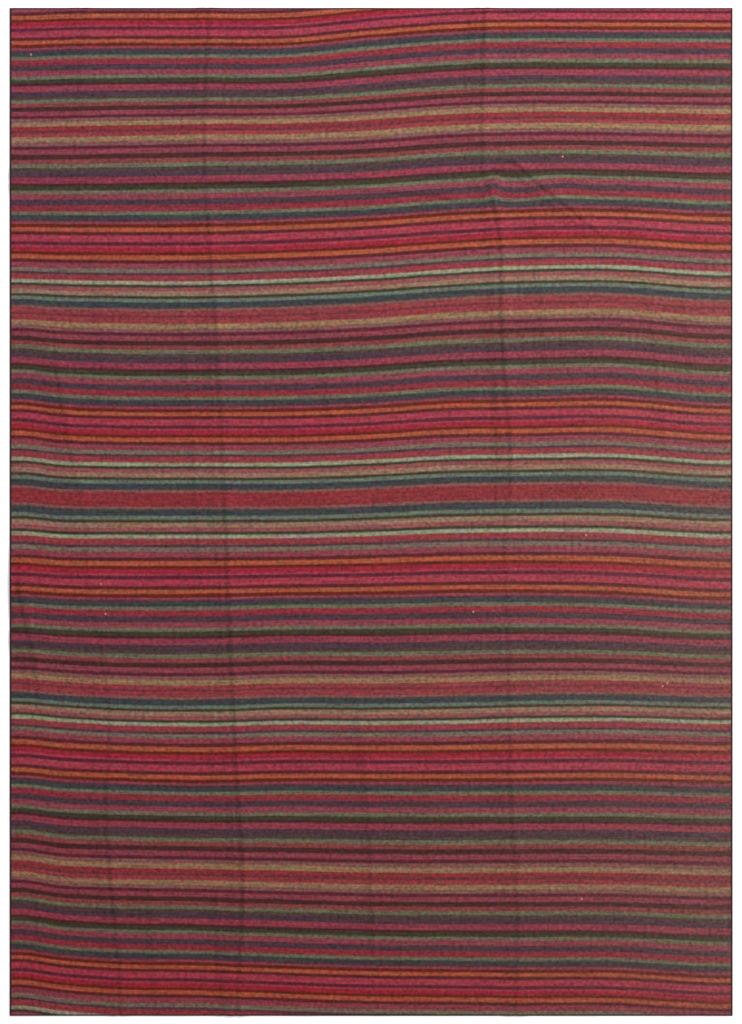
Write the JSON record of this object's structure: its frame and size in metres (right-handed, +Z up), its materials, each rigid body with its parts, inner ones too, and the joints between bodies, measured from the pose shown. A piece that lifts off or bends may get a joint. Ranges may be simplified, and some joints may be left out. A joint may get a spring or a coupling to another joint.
{
  "type": "striped flat-woven kilim rug",
  "caption": "Thin flat-woven rug laid open on the floor, striped across its width in red, pink, orange, purple, sage and teal, with old fold lines.",
  "frame": {"origin": "middle of the cloth's length and width, on the floor that it lies on", "axes": "+Z up out of the top face, +Y along the length towards the edge that is the top of the picture, +X across the width along the stripes"},
  "size_m": [1.7, 2.37, 0.0074],
  "materials": {
    "wool_flatweave": "matt weft-faced wool in narrow cross stripes of red, pink, orange, purple, sage, teal and taupe yarn"
  },
  "bodies": {
    "root": {"kilim": "wool_flatweave"}
  },
  "joints": []
}
